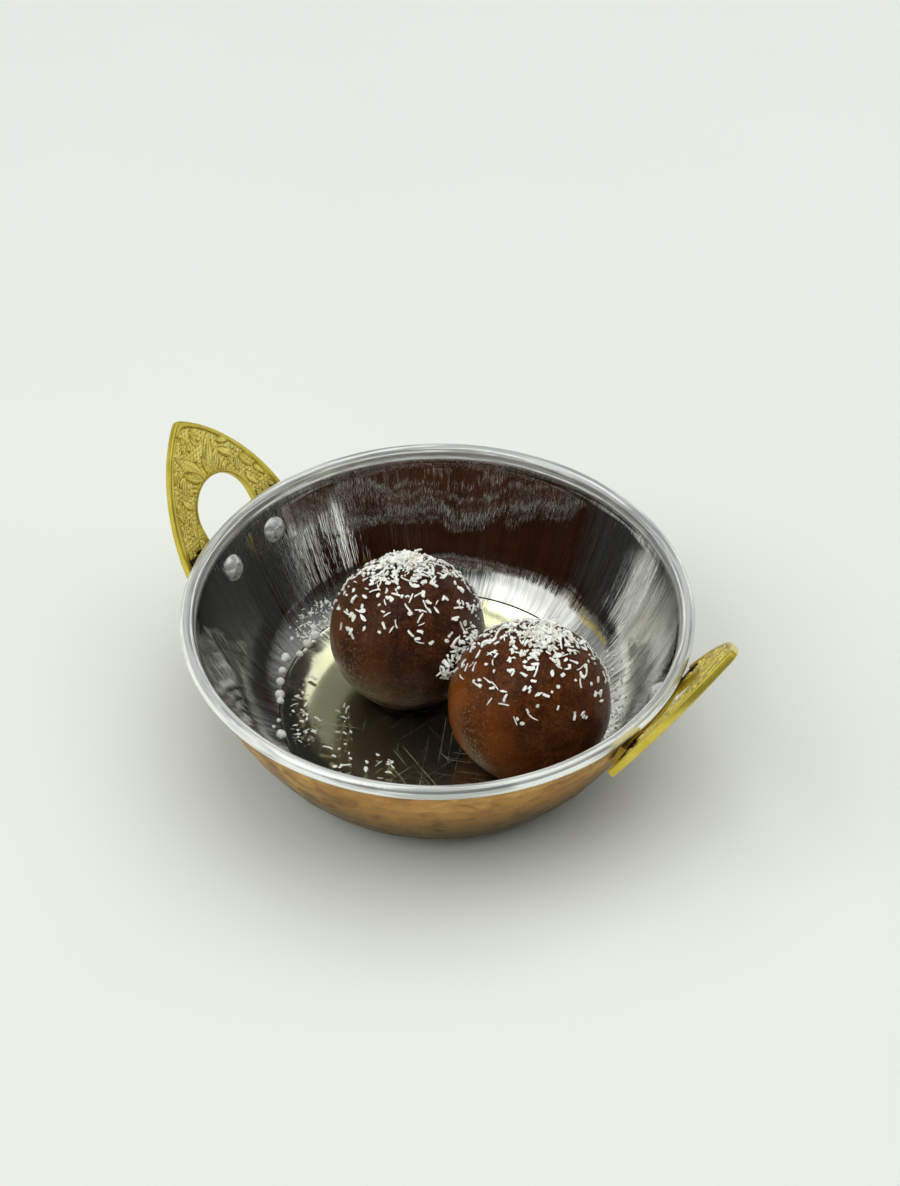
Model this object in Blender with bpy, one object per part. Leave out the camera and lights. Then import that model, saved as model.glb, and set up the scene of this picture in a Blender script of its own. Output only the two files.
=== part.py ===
"""Two gulab jamuns in syrup in a small kadai: steel liner, hammered copper shell, riveted brass handles.

Base centre on the ground at the origin, +Z up, one handle at +X and one at -X.
"""
import math

import bmesh
import bpy
from mathutils import Matrix, Vector

MM = 0.001
GAP = 0.3 * MM

# Bowl: every wall surface is an offset of the copper's outer surface
RIM_RADIUS = 65.0 * MM
BEAD_RADIUS = 1.7 * MM
BEAD_HEIGHT = 39.0 * MM
BEAD_DROP = 1.9 * MM
WALL_ARC_RADIUS = 106.0 * MM
WALL_TOP_RADIUS = 63.0 * MM
WALL_TOP_HEIGHT = 37.5 * MM
WALL_TOP_NORMAL = math.radians(75.5)
COPPER_THICKNESS = 0.7 * MM
STEEL_THICKNESS = 0.8 * MM
COPPER_FILLET = 15.0 * MM
STEEL_FILLET = 23.0 * MM
COPPER_TOP_HEIGHT = 36.8 * MM
BEAD_END = -142
BOWL_SEGMENTS = 48

# Handles: an arched plate leaning outwards, on a strip that follows the wall
HANDLE_TILT = math.radians(59.8)
HANDLE_FRONT = 65.1 * MM
HANDLE_THICKNESS = 2.3 * MM
HANDLE_APEX = 29.9 * MM
HANDLE_FOOT = -7.3 * MM
HANDLE_FOOT_HALF_WIDTH = 21.6 * MM
HANDLE_SHOULDER = (20.0 * MM, 8.5 * MM)
HANDLE_CROWN = (11.0 * MM, 23.15 * MM)
HOLE_RADIUS = 10.0 * MM
HOLE_CENTRE = 2.2 * MM
STRIP_BOTTOM = 26.5 * MM
STRIP_TOP = 34.5 * MM
STRIP_THICKNESS = 2.2 * MM
STRIP_HALF_ANGLE = math.radians(13.0)
CURVE_STEPS = 14

# Rivets: two for each handle
RIVET_HEIGHT = 30.2 * MM
RIVET_HALF_SPREAD = 9.4 * MM
RIVET_HEAD_RADIUS = 3.6 * MM
RIVET_HEAD_HEIGHT = 1.9 * MM
RIVET_FLAT_RADIUS = 1.5 * MM
RIVET_HEAD_ROUNDING = ((0.72, 0.72), (0.93, 0.38))
RIVET_SHANK_RADIUS = 1.6 * MM
RIVET_TAIL_RADIUS = 2.5 * MM
RIVET_TAIL_HEIGHT = 0.9 * MM
RIVET_TAIL_ROUNDING = (0.8, 0.7)
RIVET_BORE_DEPTH = 14.0 * MM
RIVET_SEGMENTS = 14

# Contents: places are measured from the bowl's axis
JAMUNS = (
    ("gulab_jamun_left", 20.5 * MM, -11.2 * MM, 2.2 * MM),
    ("gulab_jamun_right", 20.7 * MM, 29.26 * MM, -2.8 * MM),
)
JAMUN_SETTLE = 0.3 * MM
JAMUN_SEGMENTS = 30
JAMUN_RINGS = 15
SYRUP_DEPTH = 2.2 * MM

FLOOR_HEIGHT = COPPER_THICKNESS + GAP + STEEL_THICKNESS
SYRUP_LEVEL = FLOOR_HEIGHT + SYRUP_DEPTH


def clear_scene():
    for old in list(bpy.data.objects):
        bpy.data.objects.remove(old, do_unlink=True)


def material(name, colour, roughness, metallic):
    result = bpy.data.materials.new(name)
    result.use_nodes = True
    shader = result.node_tree.nodes["Principled BSDF"]
    shader.inputs["Base Color"].default_value = (*colour, 1.0)
    shader.inputs["Roughness"].default_value = roughness
    shader.inputs["Metallic"].default_value = metallic
    return result


def add_object(name, bm, look=None, smooth_angle=35.0):
    bmesh.ops.recalc_face_normals(bm, faces=bm.faces)
    mesh = bpy.data.meshes.new(name)
    bm.to_mesh(mesh)
    bm.free()
    mesh.shade_smooth()
    mesh.set_sharp_from_angle(angle=math.radians(smooth_angle))
    result = bpy.data.objects.new(name, mesh)
    bpy.context.collection.objects.link(result)
    if look:
        mesh.materials.append(look)
    return result


def as_cutter(tool):
    tool.hide_render = True
    tool.display_type = "WIRE"
    return tool


def boolean(target, tool, operation):
    modifier = target.modifiers.new(f"{operation.title()} {tool.name}", "BOOLEAN")
    modifier.operation = operation
    modifier.solver = "EXACT"
    modifier.object = tool


# Turned shapes

def turned_mesh(profile, segments):
    """Closed body from a profile of (radius, height) that starts and ends on the axis."""
    bm = bmesh.new()
    rings = []
    for radius, height in profile:
        if radius < 1e-7:
            rings.append([bm.verts.new((0, 0, height))] * segments)
            continue
        angles = [math.tau * i / segments for i in range(segments)]
        rings.append([bm.verts.new((radius * math.cos(a), radius * math.sin(a), height)) for a in angles])
    for low, high in zip(rings, rings[1:]):
        for i in range(segments):
            j = (i + 1) % segments
            corners = [low[i], low[j], high[j], high[i]]
            bm.faces.new(list(dict.fromkeys(corners)))
    return bm


def wall_centre():
    radius = WALL_TOP_RADIUS - WALL_ARC_RADIUS * math.sin(WALL_TOP_NORMAL)
    height = WALL_TOP_HEIGHT + WALL_ARC_RADIUS * math.cos(WALL_TOP_NORMAL)
    return radius, height


def wall_radius(height, offset=0.0):
    """Radius of the wall at a height; a positive offset is outwards from the copper."""
    centre_radius, centre_height = wall_centre()
    arc = WALL_ARC_RADIUS + offset
    return centre_radius + math.sqrt(arc ** 2 - (centre_height - height) ** 2)


def wall_normal_angle(height):
    """Angle of the wall's outward normal from straight down."""
    return math.acos((wall_centre()[1] - height) / WALL_ARC_RADIUS)


def bowl_profile(offset, fillet, floor, top, wall_steps=4, fillet_steps=4):
    """Floor, fillet and wall from the axis up to a height."""
    centre_radius, centre_height = wall_centre()
    arc = WALL_ARC_RADIUS + offset
    fillet_height = floor + fillet
    reach = math.sqrt((arc - fillet) ** 2 - (centre_height - fillet_height) ** 2)
    fillet_radius = centre_radius + reach
    join = math.atan2(reach, centre_height - fillet_height)
    end = math.acos((centre_height - top) / arc)
    profile = [(0.0, floor)]
    for i in range(fillet_steps):
        angle = join * i / fillet_steps
        profile.append((fillet_radius + fillet * math.sin(angle), fillet_height - fillet * math.cos(angle)))
    for i in range(wall_steps + 1):
        angle = join + (end - join) * i / wall_steps
        profile.append((centre_radius + arc * math.sin(angle), centre_height - arc * math.cos(angle)))
    return profile


def bead_profile(start, end, steps, clearance=0.0):
    """Round of the rolled rim, between two angles in degrees."""
    radius = BEAD_RADIUS + clearance
    centre = RIM_RADIUS - BEAD_RADIUS
    angles = [math.radians(start + (end - start) * i / steps) for i in range(steps + 1)]
    return [(centre + radius * math.cos(a), BEAD_HEIGHT + radius * math.sin(a)) for a in angles]


def steel_liner(look):
    inner = bowl_profile(-FLOOR_HEIGHT, STEEL_FILLET, FLOOR_HEIGHT, BEAD_HEIGHT - BEAD_DROP)
    bead = bead_profile(180, BEAD_END, 12)
    outer_offset = -COPPER_THICKNESS - GAP
    outer_fillet = STEEL_FILLET + STEEL_THICKNESS
    outer = bowl_profile(outer_offset, outer_fillet, -outer_offset, COPPER_TOP_HEIGHT)
    return add_object("steel_liner", turned_mesh(inner + bead + outer[::-1], BOWL_SEGMENTS), look)


def copper_shell(look):
    outer = bowl_profile(0.0, COPPER_FILLET, 0.0, COPPER_TOP_HEIGHT)
    inner_fillet = COPPER_FILLET - COPPER_THICKNESS
    inner = bowl_profile(-COPPER_THICKNESS, inner_fillet, COPPER_THICKNESS, COPPER_TOP_HEIGHT)
    return add_object("copper_shell", turned_mesh(outer + inner[::-1], BOWL_SEGMENTS), look)


def bowl_clearance():
    """The bowl grown by one gap, to cut the handles clear of it."""
    wall = bowl_profile(GAP, COPPER_FILLET + GAP, -GAP, COPPER_TOP_HEIGHT)
    bead = bead_profile(-110, 90, 10, clearance=GAP)
    top = [(0.0, BEAD_HEIGHT + BEAD_RADIUS + GAP)]
    return as_cutter(add_object("bowl_clearance", turned_mesh(wall + bead + top, BOWL_SEGMENTS)))


# Rivets

def rivet_profile():
    """Head at -Z inside the bowl, shank through both walls and the strip, tail at +Z."""
    under_head = -FLOOR_HEIGHT - GAP
    tail = GAP + STRIP_THICKNESS + GAP
    flat = under_head - RIVET_HEAD_HEIGHT
    return [
        (0.0, flat),
        (RIVET_FLAT_RADIUS, flat),
        *((RIVET_HEAD_RADIUS * out, under_head - RIVET_HEAD_HEIGHT * up) for out, up in RIVET_HEAD_ROUNDING),
        (RIVET_HEAD_RADIUS, under_head),
        (RIVET_SHANK_RADIUS, under_head),
        (RIVET_SHANK_RADIUS, tail),
        (RIVET_TAIL_RADIUS, tail),
        (RIVET_TAIL_RADIUS * RIVET_TAIL_ROUNDING[0], tail + RIVET_TAIL_HEIGHT * RIVET_TAIL_ROUNDING[1]),
        (0.0, tail + RIVET_TAIL_HEIGHT),
    ]


def rivet_places():
    """One matrix for each rivet: origin on the copper's outside, local Z along its normal."""
    radius = wall_radius(RIVET_HEIGHT)
    spread = math.asin(RIVET_HALF_SPREAD / radius)
    tilt = math.pi - wall_normal_angle(RIVET_HEIGHT)
    for turn, side in ((0.0, "right"), (math.pi, "left")):
        for sign, end in ((-1, "front"), (1, "back")):
            spin = Matrix.Rotation(turn + sign * spread, 4, "Z")
            place = Matrix.Translation((radius, 0, RIVET_HEIGHT)) @ Matrix.Rotation(tilt, 4, "Y")
            yield f"rivet_{side}_{end}", spin @ place


def rivets(look):
    for name, place in rivet_places():
        rivet = add_object(name, turned_mesh(rivet_profile(), RIVET_SEGMENTS), look)
        rivet.matrix_world = place


def rivet_bores():
    """Four bores, one gap wider than the shanks, through the walls and the strips."""
    radius = RIVET_SHANK_RADIUS + GAP
    bm = bmesh.new()
    for _, place in rivet_places():
        bmesh.ops.create_cone(bm, cap_ends=True, segments=RIVET_SEGMENTS, radius1=radius, radius2=radius,
                              depth=RIVET_BORE_DEPTH, matrix=place)
    return as_cutter(add_object("rivet_bores", bm))


# Handles

def handle_frame():
    """Local X across the handle, local Y up its slope, local Z out of its back."""
    across = Vector((0, 1, 0))
    up = Vector((math.cos(HANDLE_TILT), 0, math.sin(HANDLE_TILT)))
    out = across.cross(up)
    frame = Matrix((across, up, out)).transposed().to_4x4()
    return Matrix.Translation((HANDLE_FRONT, 0, BEAD_HEIGHT)) @ frame


def handle_outline():
    """Pointed arch over a round-topped gap that is open between the feet."""
    corners = [Vector(p) for p in (
        (HANDLE_FOOT_HALF_WIDTH, HANDLE_FOOT), HANDLE_SHOULDER, HANDLE_CROWN, (0.0, HANDLE_APEX))]
    side = []
    for i in range(CURVE_STEPS):
        t = i / CURVE_STEPS
        weights = ((1 - t) ** 3, 3 * t * (1 - t) ** 2, 3 * t * t * (1 - t), t ** 3)
        side.append(sum((w * c for w, c in zip(weights, corners)), Vector((0.0, 0.0))))
    left = [Vector((-p.x, p.y)) for p in reversed(side)]
    arc = [math.pi * i / CURVE_STEPS for i in range(CURVE_STEPS + 1)]
    gap = [Vector((-HOLE_RADIUS * math.cos(a), HOLE_CENTRE + HOLE_RADIUS * math.sin(a))) for a in arc]
    inner_feet = [Vector((-HOLE_RADIUS, HANDLE_FOOT)), Vector((HOLE_RADIUS, HANDLE_FOOT))]
    return side + [corners[3]] + left + inner_feet[:1] + gap + inner_feet[1:]


def handle_plate(name, look):
    bm = bmesh.new()
    face = bm.faces.new([bm.verts.new((p.x, p.y, 0)) for p in handle_outline()])
    solid = bmesh.ops.extrude_face_region(bm, geom=[face])
    lifted = [v for v in solid["geom"] if isinstance(v, bmesh.types.BMVert)]
    bmesh.ops.translate(bm, verts=lifted, vec=(0, 0, HANDLE_THICKNESS))
    bmesh.ops.transform(bm, verts=bm.verts, matrix=handle_frame())
    return add_object(name, bm, look)


def handle_strip(name):
    """Curved strip against the wall, under the gap and the inner halves of the feet."""
    steps = 8
    heights = (STRIP_BOTTOM, (STRIP_BOTTOM + STRIP_TOP) / 2, STRIP_TOP)
    inner = [(wall_radius(h, GAP), h) for h in heights]
    outer = [(wall_radius(h, GAP + STRIP_THICKNESS), h) for h in reversed(heights)]
    section = inner + outer
    bm = bmesh.new()
    loops = []
    for i in range(steps + 1):
        angle = STRIP_HALF_ANGLE * (2 * i / steps - 1)
        loops.append([bm.verts.new((r * math.cos(angle), r * math.sin(angle), z)) for r, z in section])
    for near, far in zip(loops, loops[1:]):
        for i in range(len(section)):
            j = (i + 1) % len(section)
            bm.faces.new((near[i], near[j], far[j], far[i]))
    bm.faces.new(loops[0])
    bm.faces.new(loops[-1])
    return as_cutter(add_object(name, bm))


def handles(look, clearance, bores):
    for turn, side in ((0.0, "right"), (math.pi, "left")):
        plate = handle_plate(f"handle_{side}", look)
        strip = handle_strip(f"strip_{side}")
        for piece in (plate, strip):
            piece.rotation_euler.z = turn
        boolean(plate, clearance, "DIFFERENCE")
        boolean(plate, strip, "UNION")
        boolean(plate, bores, "DIFFERENCE")


# Contents

def jamun_centre(radius, x, y):
    return Vector((x, y, FLOOR_HEIGHT + GAP + radius - JAMUN_SETTLE))


def pressed(bm, point, normal):
    """Flatten a soft ball against a plane."""
    for vert in bm.verts:
        depth = (vert.co - point).dot(normal)
        if depth > 0:
            vert.co -= normal * depth


def jamuns(look):
    """Balls that sit on the floor and press lightly on each other."""
    centres = [jamun_centre(*place) for _, *place in JAMUNS]
    reach = (centres[1] - centres[0]).length - GAP
    squeeze = max(0.0, (JAMUNS[0][1] + JAMUNS[1][1] - reach) / 2)
    for (name, radius, _, _), centre, other in zip(JAMUNS, centres, centres[::-1]):
        bm = bmesh.new()
        bmesh.ops.create_uvsphere(bm, u_segments=JAMUN_SEGMENTS, v_segments=JAMUN_RINGS, radius=radius)
        bmesh.ops.translate(bm, verts=bm.verts, vec=centre)
        towards = (other - centre).normalized()
        pressed(bm, centre + towards * (radius - squeeze), towards)
        pressed(bm, Vector((0, 0, FLOOR_HEIGHT + GAP)), Vector((0, 0, -1)))
        add_object(name, bm, look)


def syrup(look):
    """Shallow pool on the liner's floor, cut clear of the balls."""
    profile = bowl_profile(-FLOOR_HEIGHT - GAP, STEEL_FILLET - GAP, FLOOR_HEIGHT + GAP, COPPER_TOP_HEIGHT,
                           fillet_steps=20)
    edge = next(i for i, p in enumerate(profile) if p[1] >= SYRUP_LEVEL)
    (r0, z0), (r1, z1) = profile[edge - 1], profile[edge]
    shore = (r0 + (r1 - r0) * (SYRUP_LEVEL - z0) / (z1 - z0), SYRUP_LEVEL)
    kept = profile[:2] + profile[3:edge:2]
    pool = add_object("syrup", turned_mesh(kept + [shore, (0.0, SYRUP_LEVEL)], BOWL_SEGMENTS), look)
    for name, *place in JAMUNS:
        bm = bmesh.new()
        bmesh.ops.create_uvsphere(bm, u_segments=JAMUN_SEGMENTS, v_segments=JAMUN_RINGS, radius=place[0] + GAP)
        bmesh.ops.translate(bm, verts=bm.verts, vec=jamun_centre(*place))
        boolean(pool, as_cutter(add_object(f"{name}_clearance", bm)), "DIFFERENCE")


def main():
    clear_scene()
    steel = material("polished steel", (0.62, 0.62, 0.60), 0.16, 1.0)
    copper = material("hammered copper", (0.60, 0.31, 0.14), 0.38, 1.0)
    brass = material("cast brass", (0.58, 0.44, 0.13), 0.42, 1.0)
    aluminium = material("rivet metal", (0.60, 0.60, 0.58), 0.40, 1.0)
    fried = material("fried dough in syrup", (0.115, 0.030, 0.010), 0.28, 0.0)
    liquid = material("sugar syrup", (0.30, 0.26, 0.11), 0.06, 0.0)
    bores = rivet_bores()
    for wall in (steel_liner(steel), copper_shell(copper)):
        boolean(wall, bores, "DIFFERENCE")
    handles(brass, bowl_clearance(), bores)
    rivets(aluminium)
    jamuns(fried)
    syrup(liquid)


main()
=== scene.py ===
"""Looks for two gulab jamuns in a small kadai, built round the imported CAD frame.

Lengths in the named sizes are millimetres; MM turns them into the frame's metres.
"""
import math
import random

import bmesh
import bpy
import numpy as np
from mathutils import Matrix, Vector, noise


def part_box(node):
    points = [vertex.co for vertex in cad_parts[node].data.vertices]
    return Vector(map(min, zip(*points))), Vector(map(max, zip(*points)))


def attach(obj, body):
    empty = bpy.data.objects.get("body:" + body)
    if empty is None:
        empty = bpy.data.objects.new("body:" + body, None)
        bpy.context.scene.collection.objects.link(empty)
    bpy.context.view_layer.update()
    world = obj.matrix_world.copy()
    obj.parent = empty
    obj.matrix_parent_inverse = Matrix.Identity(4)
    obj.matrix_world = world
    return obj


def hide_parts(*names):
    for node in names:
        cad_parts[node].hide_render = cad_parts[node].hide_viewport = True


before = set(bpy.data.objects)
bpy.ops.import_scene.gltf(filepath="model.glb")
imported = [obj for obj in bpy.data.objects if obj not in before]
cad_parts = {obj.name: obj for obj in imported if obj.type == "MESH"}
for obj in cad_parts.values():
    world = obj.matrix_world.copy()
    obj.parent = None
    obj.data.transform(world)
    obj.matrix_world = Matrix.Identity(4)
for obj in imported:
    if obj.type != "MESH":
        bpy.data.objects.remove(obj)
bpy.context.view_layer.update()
MM = 0.001

# Bowl section, the same form as the CAD's
WALL_ARC = 106.0
WALL_TOP = (63.0, 37.5)
WALL_TOP_NORMAL = math.radians(75.5)
WALL_CENTRE_R = WALL_TOP[0] - WALL_ARC * math.sin(WALL_TOP_NORMAL)
WALL_CENTRE_Z = WALL_TOP[1] + WALL_ARC * math.cos(WALL_TOP_NORMAL)
COPPER_TOP = 36.8
COPPER_FILLET = 15.0
COPPER_WALL = 0.7
COPPER_EASE = 0.35
STEEL_FILLET = 23.0
STEEL_OFFSET = -1.8
STEEL_OUTSIDE = -1.0
BEAD_RADIUS = 1.7
RIM_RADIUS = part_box("steel_liner")[1].x / MM
RIM_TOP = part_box("steel_liner")[1].z / MM
BEAD_HEIGHT = RIM_TOP - BEAD_RADIUS
LIP_DROP = 3.4
LIP_BOW = 0.16
LIP_STEPS = 7
SYRUP_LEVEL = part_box("syrup")[1].z / MM
SYRUP_SINK = 0.35
SHORE_OVERLAP = 0.9
SHORE_RISE = 0.55
SHORE_REACH = 0.8
BALL_RISE = 0.9
BALL_REACH = 1.0
SHADE_REACH = 3.0
FLOOR = -STEEL_OFFSET

# Handle plate, in its own plane: s across, q up the slope, n out of its back
HANDLE_TILT = math.radians(59.8)
HANDLE_FRONT = 65.1
HANDLE_THICKNESS = 2.3
HANDLE_OUTLINE = ((21.6, -7.3), (20.0, 8.5), (11.0, 23.15), (0.0, 29.9))
HANDLE_EASE = 0.45
BACK_EASE = 0.4
BORDER_OUTSIDE = 1.5
BORDER_INSIDE = 1.0
RELIEF_DEPTH = 0.58
HOLE_RADIUS = 10.0
HOLE_CENTRE = 2.2
STRIP_HEIGHTS = (26.5, 34.5)
STRIP_THICKNESS = 2.2
STRIP_HALF_ANGLE = math.radians(13.0)
STRIP_EASE = 0.4
METAL_GAP = 0.3

# The cast ornament, one half of it. Leaves: root (s, q), angle in degrees, length, half width, bend
LEAVES = (
    ((0.55, 12.9), 84, 5.2, 0.52, 0.0),
    ((1.1, 12.9), 66, 10.6, 1.55, -0.12),
    ((2.2, 13.0), 34, 6.4, 1.25, 0.16),
    ((1.3, 21.2), 82, 4.6, 0.75, 0.0),
    ((3.6, 21.8), 132, 3.2, 0.60, 0.0),
    ((7.0, 16.9), -42, 5.4, 1.05, -0.16),
    ((8.0, 19.4), -38, 4.6, 0.85, 0.10),
    ((9.7, 8.6), 62, 4.2, 0.80, 0.10),
    ((12.6, 12.0), -62, 5.2, 1.10, -0.14),
    ((12.0, 7.0), -84, 5.0, 0.95, 0.12),
    ((15.4, 7.0), -72, 4.6, 0.85, 0.08),
    ((12.2, 0.9), -80, 4.6, 0.95, 0.14),
    ((14.2, -1.6), -96, 5.0, 1.00, -0.10),
    ((17.4, 0.6), -84, 4.6, 0.80, 0.06),
    ((5.4, 11.6), 30, 3.0, 0.60, 0.0),
)
# Grape clusters: centre (s, q), radius
CLUSTERS = (
    ((5.0, 18.9), 1.5),
    ((10.9, 13.6), 1.7),
    ((13.9, 9.9), 1.2),
    ((14.0, 3.6), 1.7),
    ((16.9, -2.6), 1.5),
    ((12.6, -4.6), 1.3),
    ((7.9, 12.2), 1.0),
)
GRAPE_PITCH = 1.25
GRAPE_ROW_SHARE = 0.87
GRAPE_RADIUS = 0.60

# Rivets
RIVET_HEIGHT = 30.2
RIVET_SPREAD = 9.4
RIVET_HEAD = 3.6
RIVET_RISE = 1.9
RIVET_FLAT = 1.45
RIVET_SHANK = 1.55
RIVET_TAIL = 2.5
RIVET_TAIL_RISE = 0.9

# The sweets: radius, and how far back from the bowl's middle each stands
LEFT_RADIUS = 20.5
LEFT_BACK = 2.2
RIGHT_RADIUS = 20.7
RIGHT_BACK = -2.8

# The pressed sides narrow the boxes, so the centres are set from the free sides
LEFT_LOW, LEFT_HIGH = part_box("gulab_jamun_left")
RIGHT_LOW, RIGHT_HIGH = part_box("gulab_jamun_right")
LEFT_BALL = Vector((LEFT_LOW.x / MM + LEFT_RADIUS, LEFT_BACK, LEFT_HIGH.z / MM - LEFT_RADIUS))
RIGHT_BALL = Vector((RIGHT_HIGH.x / MM - RIGHT_RADIUS, RIGHT_BACK, RIGHT_HIGH.z / MM - RIGHT_RADIUS))
BALLS = {"gulab_jamun_left": (LEFT_BALL, LEFT_RADIUS), "gulab_jamun_right": (RIGHT_BALL, RIGHT_RADIUS)}

# Drops beaded along the shore, by angle in degrees; and loose ones: angle, rise over the pool, radius
DROP_ANGLES = (176, 181, 187, 193, 198, 203, 209, 212)
LOOSE_DROPS = (
    (192, 1.6, 1.35),
    (229, 0.7, 1.35),
    (222, 0.6, 0.6),
    (226, 1.6, 0.5),
    (184, 2.6, 0.6),
    (174, 1.4, 0.9),
)

# The soft box stands at the camera's left, halfway up; the room's far side is brighter than its near side
LAMP_DIRECTION = Vector((-0.42, -0.56, 0.71)).normalized()
BACK_DIRECTION = Vector((-0.70, 0.50, 0.50)).normalized()
LAMP_COLOUR = (0.98, 1.0, 0.97)
LAMP_AIM = Vector((0.0, 0.0, 0.02))

# The camera: place and aim in metres, lens in millimetres, and its roll
CAMERA_PLACE = Vector((0.20589, -0.31360, 0.38736))
CAMERA_AIM = Vector((0.00017, 0.00557, 0.0390))
CAMERA_LENS = 61.4
CAMERA_ROLL = math.radians(-0.37)


# Mesh helpers

def add_piece(name, points, faces, *replaced, slot=None, sharp=40.0, attributes=None):
    """A piece from points in millimetres, riding on the root and standing for CAD nodes."""
    mesh = bpy.data.meshes.new(name)
    mesh.from_pydata([tuple(p) for p in np.asarray(points) * MM], [], faces)
    for key, values in (attributes or {}).items():
        layer = mesh.attributes.new(key, "FLOAT", "POINT")
        layer.data.foreach_set("value", np.asarray(values, np.float32))
    mesh.validate()
    mesh.shade_smooth()
    mesh.set_sharp_from_angle(angle=math.radians(sharp))
    piece = bpy.data.objects.new(name, mesh)
    bpy.context.scene.collection.objects.link(piece)
    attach(piece, "root")
    if replaced:
        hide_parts(*replaced)
    return piece


def grid_faces(rows, columns, start=0):
    """Quads over a grid of points stored row by row, each row closed on itself."""
    faces = []
    for i in range(rows - 1):
        row = start + i * columns
        ahead = row + columns
        for j in range(columns):
            k = (j + 1) % columns
            faces.append((row + j, row + k, ahead + k, ahead + j))
    return faces


def capped_faces(rows, columns, start=0):
    """The same grid with a flat face on each end."""
    first = tuple(range(start, start + columns))
    last = tuple(range(start + (rows - 1) * columns, start + rows * columns))
    return grid_faces(rows, columns, start) + [first[::-1], last]


def tipped_faces(rows, columns):
    """The same grid with each end run to a tip; the two tips are stored after the grid's points."""
    faces = grid_faces(rows, columns)
    first_tip = rows * columns
    last_tip = first_tip + 1
    last_row = first_tip - columns
    for j in range(columns):
        k = (j + 1) % columns
        faces.append((first_tip, k, j))
        faces.append((last_tip, last_row + j, last_row + k))
    return faces


def turned(profile, segments):
    """Points and faces of a body turned round Z; the profile starts and ends on the axis."""
    rings = np.array(profile[1:-1])
    angles = np.arange(segments) * math.tau / segments
    radius, height = rings[:, :1], rings[:, 1:]
    points = np.stack([radius * np.cos(angles), radius * np.sin(angles), height + 0 * angles], -1)
    points = points.reshape(-1, 3)
    points = np.vstack([points, [(0, 0, profile[0][1]), (0, 0, profile[-1][1])]])
    return points, tipped_faces(len(rings), segments)


def wall_arc(offset, fillet, floor, top, floor_steps, fillet_steps, wall_steps):
    """(radius, height) points along the floor, fillet and wall."""
    arc = WALL_ARC + offset
    drop = WALL_CENTRE_Z - floor - fillet
    reach = math.sqrt((arc - fillet) ** 2 - drop ** 2)
    join = math.atan2(reach, drop)
    end = math.acos((WALL_CENTRE_Z - top) / arc)
    points = [((WALL_CENTRE_R + reach) * i / floor_steps, floor) for i in range(floor_steps)]
    for i in range(fillet_steps):
        a = join * i / fillet_steps
        points.append((WALL_CENTRE_R + reach + fillet * math.sin(a), floor + fillet - fillet * math.cos(a)))
    for i in range(wall_steps + 1):
        a = join + (end - join) * i / wall_steps
        points.append((WALL_CENTRE_R + arc * math.sin(a), WALL_CENTRE_Z - arc * math.cos(a)))
    return points


def wall_radius(height, offset=0.0):
    """Radius of the copper's outside at a height, or of a surface that far outside it."""
    return WALL_CENTRE_R + math.sqrt((WALL_ARC + offset) ** 2 - (WALL_CENTRE_Z - height) ** 2)


def wall_lean(height):
    """Angle of the wall's outward normal from straight down."""
    return math.acos((WALL_CENTRE_Z - height) / WALL_ARC)


# Materials

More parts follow.
